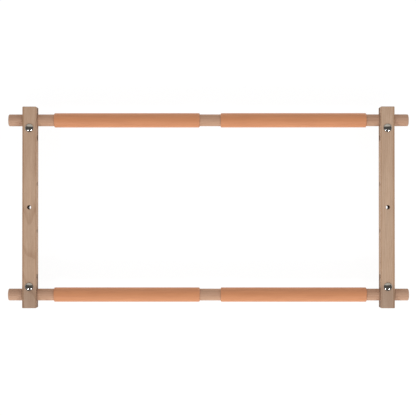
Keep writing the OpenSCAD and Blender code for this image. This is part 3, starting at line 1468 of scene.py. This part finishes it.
@dataclass
class CarriageBolts:
    """The bolts that clamp the split ends: domed head, square neck and threaded shank.

    Attributes:
        head_radius: Radius of the domed head.
        head_height: Its height.
        rim: Height of the upright band round it.
        rim_easing: Share of the band's height that each of its edges is rounded over.
        rim_inset: How far in that rounding reaches.
        dome_rings: Rings of points over the dome.
        collar: Radius of the last round ring under the head, in half widths of the neck.
        neck: Width of the square neck.
        neck_depth: Its depth.
        foot_easing: Height over which the neck's foot is rounded.
        foot_square: How square the foot's last ring still is.
        neck_to_shank: Height over which the neck goes over into the shank.
        fine_easing: The smallest rounding on a bolt.
        squareness: Added to a circle's power of 2, it makes a ring square.
        shank_radius: Radius of the shank.
        tip_bevel: Width and height of the bevel at the tip.
        tip_inset: Width of the rounding inside that bevel.
        thread_top: Height up to which the thread runs.
        thread_pitch: From one turn of the thread to the next.
        thread_depth: Depth of the thread.
        thread_rings: Rings of points for each turn of the thread.
        facets: Points round a bolt.
        sharp_degrees: Edges sharper than this stay crisp.
        zinc: The bolts' finish.
        slot: Their material slot; not used.
    """

    head_radius: float = 6.3
    head_height: float = 3.0
    rim: float = 0.5
    rim_easing: float = 0.25
    rim_inset: float = 0.12
    dome_rings: int = 14
    collar: float = 1.5
    neck: float = 5.2
    neck_depth: float = 3.5
    foot_easing: float = 0.4
    foot_square: float = 0.4
    neck_to_shank: float = 0.5
    fine_easing: float = 0.05
    squareness: float = 14.0
    shank_radius: float = 2.5
    tip_bevel: float = 0.7
    tip_inset: float = 0.1
    thread_top: float = 24.0
    thread_pitch: float = 0.8
    thread_depth: float = 0.42
    thread_rings: int = 8
    facets: int = 40
    sharp_degrees: float = 40.0
    zinc: BrightZinc = BrightZinc("polished_zinc", 0.08, 0.002)
    slot: str = "bright_zinc"

    def head_rings(self) -> List[Ring]:
        """Draws the domed head.

        Returns:
            Its rings, from the top down.
        """
        front, widest = LAYOUT.front, self.head_radius
        rise = self.head_height - self.rim
        dome = (widest**2 + rise**2) / (2 * rise)
        half_angle = math.asin((widest - self.rim_inset) / dome)
        angles = [half_angle * i / self.dome_rings for i in range(1, self.dome_rings + 1)]
        top = front + self.head_height
        return [
            *(Ring(top - dome * (1 - math.cos(t)), dome * math.sin(t)) for t in angles),
            Ring(front + self.rim * (1 - self.rim_easing), widest),
            Ring(front + self.rim * self.rim_easing, widest),
            Ring(front, widest - self.rim_inset),
            Ring(front, self.neck / 2 * self.collar),
        ]

    def shank_rings(self) -> List[Ring]:
        """Draws the square neck, the plain shank, the thread's stretch and the tip.

        Returns:
            Their rings, from the top down.
        """
        half_neck, fine, tip = self.neck / 2, self.fine_easing, self.shank_radius - self.tip_bevel
        foot = LAYOUT.front - self.neck_depth
        step = self.thread_pitch / self.thread_rings
        rows = int((self.thread_top - self.tip_bevel) / step)
        return [
            Ring(LAYOUT.front, half_neck, 1.0),
            Ring(foot + self.foot_easing, half_neck, 1.0),
            Ring(foot, half_neck - fine, self.foot_square),
            Ring(foot - self.neck_to_shank, self.shank_radius),
            *(Ring(self.thread_top - step * i, self.shank_radius) for i in range(rows)),
            Ring(self.tip_bevel, self.shank_radius - fine),
            Ring(fine, tip),
            Ring(0.0, tip - self.tip_inset),
        ]

    def ring_points(self, centre: Vector, ring: Ring) -> List[Vector]:
        """Places one ring's points round the bolt.

        Args:
            centre: The bolt's axis.
            ring: The ring.

        Returns:
            The points, in metres.
        """
        power = 2 + self.squareness * ring.square
        points = []
        for i in range(self.facets):
            t = math.tau * (i + 0.5) / self.facets
            c, s = math.cos(t), math.sin(t)
            reach = ring.radius / (abs(c) ** power + abs(s) ** power) ** (1 / power)
            place = Vector((centre.x + reach * c, centre.y + reach * s, ring.height))
            points.append(place * MM)
        return points

    def blank(self, name: str, centre: Vector) -> bpy.types.Object:
        """Forges one bolt with a smooth shank.

        Args:
            name: The blank's name.
            centre: The bolt's axis.

        Returns:
            The blank, as one closed mesh.
        """
        shape = bmesh.new()
        rings = self.head_rings() + self.shank_rings()
        loops = [[shape.verts.new(p) for p in self.ring_points(centre, r)] for r in rings]
        for upper, lower in zip(loops, loops[1:]):
            for i in range(self.facets):
                j = (i + 1) % self.facets
                shape.faces.new((upper[i], upper[j], lower[j], lower[i]))
        top = LAYOUT.front + self.head_height
        for loop, height in ((loops[0], top), (loops[-1], 0.0)):
            pole = shape.verts.new(Vector((centre.x, centre.y, height)) * MM)
            for i in range(self.facets):
                shape.faces.new((loop[i], loop[(i + 1) % self.facets], pole))
        bmesh.ops.recalc_face_normals(shape, faces=shape.faces)
        mesh = bpy.data.meshes.new(name)
        shape.to_mesh(mesh)
        shape.free()
        return new_object(name, mesh)

    def make(self, label: str, body: str, centre: Vector, rolling: ThreadRolling) -> None:
        """Makes one bolt.

        Args:
            label: The corner's name.
            body: The moving body that it rides on.
            centre: The bolt's axis.
            rolling: What rolls its thread.
        """
        values = {
            "Axis": tuple(centre * MM),
            "Radius": self.shank_radius * MM,
            "Pitch": self.thread_pitch * MM,
            "Depth": self.thread_depth * MM,
            "From height": self.tip_bevel * MM,
            "To height": self.thread_top * MM,
        }
        blank = self.blank(f"{label}_bolt_blank", centre)
        bolt = rolling.run(blank, f"{label}_coach_bolt", values, self.zinc)
        sharpen(bolt, self.sharp_degrees)
        finished(bolt, body, f"{label}_carriage_bolt")


@dataclass
class Washers:
    """The flat washers, punched from sheet.

    Attributes:
        radius: Outer radius.
        hole: Radius of the hole.
        seat: Height of the underside.
        thick: Thickness.
        rounding: Rounding of the outer edges, rolled over by the punch.
        rounding_steps: Facets across that rounding.
        bevel: Bevel of the edges of the hole.
        facets: Facets round a washer.
        sharp_degrees: Edges sharper than this stay crisp.
        zinc: The washers' finish.
        slot: Their material slot; not used.
    """

    radius: float = 7.5
    hole: float = 2.65
    seat: float = 16.8
    thick: float = 1.2
    rounding: float = 0.3
    rounding_steps: int = 4
    bevel: float = 0.15
    facets: int = 64
    sharp_degrees: float = 40.0
    zinc: BrightZinc = BrightZinc(
        "stamped_zinc", 0.2, 0.006, (0.66, 0.67, 0.68), (0.54, 0.54, 0.53)
    )
    slot: str = "bright_zinc"

    def outline(self) -> List[Point2]:
        """Draws the section of a washer.

        Returns:
            Its points, all the way round.
        """
        i, o, half, e, f = self.hole, self.radius, self.thick / 2, self.rounding, self.bevel
        upper = rounded((o - e, half - e), e, 0, 90, self.rounding_steps)
        hole = [(i + f, half), (i, half - f), (i, -half + f), (i + f, -half)]
        lower = rounded((o - e, -half + e), e, -90, 0, self.rounding_steps)
        return upper + hole + lower

    def make(self, label: str, centre: Vector, lathe: Turning) -> None:
        """Makes one washer.

        Args:
            label: The corner's name.
            centre: The bolt's axis.
            lathe: The lathe that turns it all the way round.
        """
        washer = lathe.turn(
            f"{label}_flat_washer",
            self.outline(),
            closed=True,
            place=centre + Vector((0, 0, self.seat + self.thick / 2)),
            axis=TurnedAxis.ALONG_BOLTS,
            finish=self.zinc,
            steps=self.facets,
        )
        sharpen(washer, self.sharp_degrees)
        finished(washer, f"{label}_washer", f"{label}_washer")


@dataclass
class WingNuts:
    """The cast wing nuts: their plain solids, softened wherever two faces meet.

    Attributes:
        voxel: Size of the grains that the form is cast from.
        softening: How far each pass of the softening goes, 0 to 1.
        passes: Passes of the softening.
        kept: Share of the cast form's faces that are kept.
        sharp_degrees: Edges sharper than this stay crisp.
        zinc: The nuts' finish.
        slot: Their material slot; not used.
    """

    voxel: float = 0.2
    softening: float = 0.5
    passes: int = 12
    kept: float = 0.25
    sharp_degrees: float = 60.0
    zinc: BrightZinc = BrightZinc("cast_zinc", 0.28, 0.02, (0.58, 0.59, 0.60), (0.44, 0.44, 0.43))
    slot: str = "bright_zinc"

    def make(self, label: str) -> None:
        """Casts one wing nut.

        Args:
            label: The corner's name.
        """
        node = f"{label}_wing_nut"
        blank = merged_copy(node)
        cast = blank.modifiers.new("casting", "REMESH")
        cast.mode = "VOXEL"
        cast.voxel_size = self.voxel * MM
        soften = blank.modifiers.new("softening", "SMOOTH")
        soften.factor = self.softening
        soften.iterations = self.passes
        thin = blank.modifiers.new("thinning", "DECIMATE")
        thin.ratio = self.kept
        nut = baked_down(blank, f"{label}_cast_wing_nut")
        sharpen(nut, self.sharp_degrees)
        finished(nut, node, node, self.zinc)


@dataclass
class Fastenings:
    """A carriage bolt, a washer and a wing nut at every corner.

    Attributes:
        bolts: What makes the bolts.
        washers: What makes the washers.
        nuts: What makes the wing nuts.
    """

    bolts: CarriageBolts = field(default_factory=CarriageBolts)
    washers: Washers = field(default_factory=Washers)
    nuts: WingNuts = field(default_factory=WingNuts)

    def build(self, lathe: Turning, rolling: ThreadRolling) -> None:
        """Makes all four sets.

        Args:
            lathe: The lathe that turns the washers.
            rolling: What rolls the bolts' threads.
        """
        for side, end in CORNERS:
            label = corner_label(side, end)
            centre = Vector((LAYOUT.arm_x(side), end.value * LAYOUT.bolt, 0.0))
            self.bolts.make(label, side.body, centre, rolling)
            self.washers.make(label, centre, lathe)
            self.nuts.make(label)


# Studio


def seen_directly(bench: Bench) -> Wire:
    """1 for the camera's own rays and those that metal or glass sends on, and 0 for others.

    Args:
        bench: The bench of the material or the world.

    Returns:
        That value.
    """
    rays = bench.add("ShaderNodeLightPath")
    seen = bench.wire(rays, "Is Camera Ray")
    seen = bench.math("MAXIMUM", seen, bench.wire(rays, "Is Glossy Ray"))
    return bench.math("MAXIMUM", seen, bench.wire(rays, "Is Transmission Ray"))


@dataclass(frozen=True)
class FloorPaint(Finish):
    """The pale floor: it takes the shadow, and to the eye and in metal it is nearly white.

    Attributes:
        name: The material's name.
        paint: How pale the paint is under the studio's light.
        glow: How bright the floor is where it is seen directly.
        veil: How much of what is seen directly is glow, and not paint with its shadow.
    """

    name: str = "pale_floor"
    paint: Colour = (0.88, 0.88, 0.88)
    glow: float = 1.07
    veil: float = 0.86

    def surface(self, bench: Bench) -> Wire:
        """Lays a glow over the paint for what looks at the floor directly or in metal.

        Args:
            bench: The material's bench.

        Returns:
            The shader.
        """
        paint = bench.get("ShaderNodeBsdfDiffuse", {}, {"Color": (*self.paint, 1.0)})
        glow = bench.get("ShaderNodeEmission", {}, {"Strength": self.glow})
        feeds = {0: seen_directly(bench) * self.veil, 1: paint, 2: glow}
        return bench.get("ShaderNodeMixShader", {}, feeds)


@dataclass(frozen=True)
class RoomPaint(Finish):
    """What metal sees round the studio: darkness, and a warm ceiling past the frame's top.

    Attributes:
        name: The material's name.
        glow: Colour of the ceiling where it is brightest.
        dusk: How bright the rest is beside it.
        rises: Height over which the ceiling comes up from the dark walls.
        sets_in: Distance past the frame's middle over which it brightens.
    """

    name: str = "dark_room"
    glow: Colour = (0.56, 0.505, 0.43)
    dusk: float = 0.14
    rises: Point2 = (390.0, 1140.0)
    sets_in: Point2 = (1270.0, 2340.0)

    def surface(self, bench: Bench) -> Wire:
        """Wires up the glow by place.

        Args:
            bench: The material's bench.

        Returns:
            The shader.
        """
        _, y, z = bench.split(self.place_mm(bench))
        strength = self.dusk + z.step(*self.rises) * y.step(*self.sets_in) * (1 - self.dusk)
        feeds = {"Color": (*self.glow, 1.0), "Strength": strength}
        return bench.get("ShaderNodeEmission", {}, feeds)


@dataclass
class Studio:
    """Floor, soft light and camera. Lengths here are metres.

    Attributes:
        floor_size: Length of the floor's sides.
        floor_gap: Room between the floor and the bolts' tips.
        zenith: How bright the soft light is from straight above.
        horizon: How bright it is from low down.
        softbox_power: Power of each softbox, in watts.
        softbox_size: Length of its sides.
        softbox_place: Where the right one stands; the left one mirrors it.
        softbox_aim: The point that both face.
        room_radius: Radius of the dome that metal sees.
        room_facets: Facets round the dome, and from its bottom to its top if it were a ball.
        camera_place: Where the camera stands.
        camera_turn: How it is turned, in degrees.
        lens: Its focal length, in millimetres.
        sensor: The width of its sensor, in millimetres.
        sees_to: How far it sees.
    """

    floor_size: float = 8.0
    floor_gap: float = 0.0003
    zenith: float = 0.36
    horizon: float = 1.43
    softbox_power: float = 31.0
    softbox_size: float = 0.36
    softbox_place: Point3 = (1.8, -2.45, 1.96)
    softbox_aim: Point3 = (0.0, 0.0, 0.03)
    room_radius: float = 3.8
    room_facets: Tuple[int, int] = (48, 24)
    camera_place: Point3 = (0.0058, -0.0227, 2.081)
    camera_turn: Point3 = (0.608, 0.18, -0.005)
    lens: float = 116.62
    sensor: float = 36.0
    sees_to: float = 20.0

    def floor(self) -> None:
        """Lays the floor just under the bolt ends."""
        half, height = self.floor_size / 2, -self.floor_gap
        signs = ((-1, -1), (1, -1), (1, 1), (-1, 1))
        corners = [(x * half, y * half, height) for x, y in signs]
        mesh = bpy.data.meshes.new("floor")
        mesh.from_pydata(corners, [], [(0, 1, 2, 3)])
        mesh.materials.append(FloorPaint().material())
        new_object("floor", mesh)

    def surroundings(self) -> None:
        """Puts a dome over the frame that only metal can see."""
        mesh = bpy.data.meshes.new("surroundings")
        dome = bmesh.new()
        round_it, up_it = self.room_facets
        bmesh.ops.create_uvsphere(
            dome, u_segments=round_it, v_segments=up_it, radius=self.room_radius
        )
        below = [point for point in dome.verts if point.co.z < -MM]
        bmesh.ops.delete(dome, geom=below, context="VERTS")
        dome.to_mesh(mesh)
        dome.free()
        mesh.materials.append(RoomPaint().material())
        room = new_object("surroundings", mesh)
        room.visible_camera = False
        room.visible_diffuse = False
        room.visible_shadow = False
        room.visible_transmission = False

    def softbox(self, side: Side) -> None:
        """Sets up one square softbox.

        Args:
            side: On which side of the frame it stands.
        """
        name = f"{side.label}_softbox"
        lamp = bpy.data.lights.new(name, "AREA")
        lamp.shape = "SQUARE"
        lamp.size = self.softbox_size
        lamp.energy = self.softbox_power
        x, y, z = self.softbox_place
        place = Vector((side.value * x, y, z))
        box = bpy.data.objects.new(name, lamp)
        box.location = place
        box.rotation_euler = (Vector(self.softbox_aim) - place).to_track_quat("-Z", "Y").to_euler()
        bpy.context.scene.collection.objects.link(box)

    def world(self) -> None:
        """Lights from all round, mostly from low down; seen directly or in metal it is white."""
        world = bpy.data.worlds.new("studio")
        world.use_nodes = True
        bench = Bench(world.node_tree)
        white = (1.0, 1.0, 1.0, 1.0)
        _, _, rise = bench.split(bench.get("ShaderNodeTexCoord", {}, {}, "Generated"))
        strength = self.horizon - bench.math("MAXIMUM", rise, 0.0) * (self.horizon - self.zenith)
        soft = bench.get("ShaderNodeBackground", {}, {"Color": white, "Strength": strength})
        seen = bench.get("ShaderNodeBackground", {}, {"Color": white, "Strength": 1.0})
        both = bench.get("ShaderNodeMixShader", {}, {0: seen_directly(bench), 1: soft, 2: seen})
        bench.add("ShaderNodeOutputWorld", {}, {"Surface": both})
        bpy.context.scene.world = world

    def camera(self) -> None:
        """Sets the camera above the frame, looking down its front."""
        data = bpy.data.cameras.new("camera")
        data.lens = self.lens
        data.sensor_width = self.sensor
        data.clip_end = self.sees_to
        camera = bpy.data.objects.new("camera", data)
        camera.location = self.camera_place
        camera.rotation_euler = [math.radians(t) for t in self.camera_turn]
        bpy.context.scene.collection.objects.link(camera)
        bpy.context.scene.camera = camera

    def build(self) -> None:
        """Sets up the whole studio."""
        self.floor()
        self.surroundings()
        for side in Side:
            self.softbox(side)
        self.world()
        self.camera()
        bpy.context.scene.view_settings.view_transform = "Standard"


def main() -> None:
    """Builds the studio and every sub-assembly in order."""
    Studio().build()
    lathe = Turning("lathe", partial=False)
    bender = Turning("clip_bender", partial=True)
    rolling = ThreadRolling()
    SideArms().build()
    Rollers().build(lathe)
    ClothClips().build(bender)
    Fastenings().build(lathe, rolling)


if __name__ == "__main__":
    main()
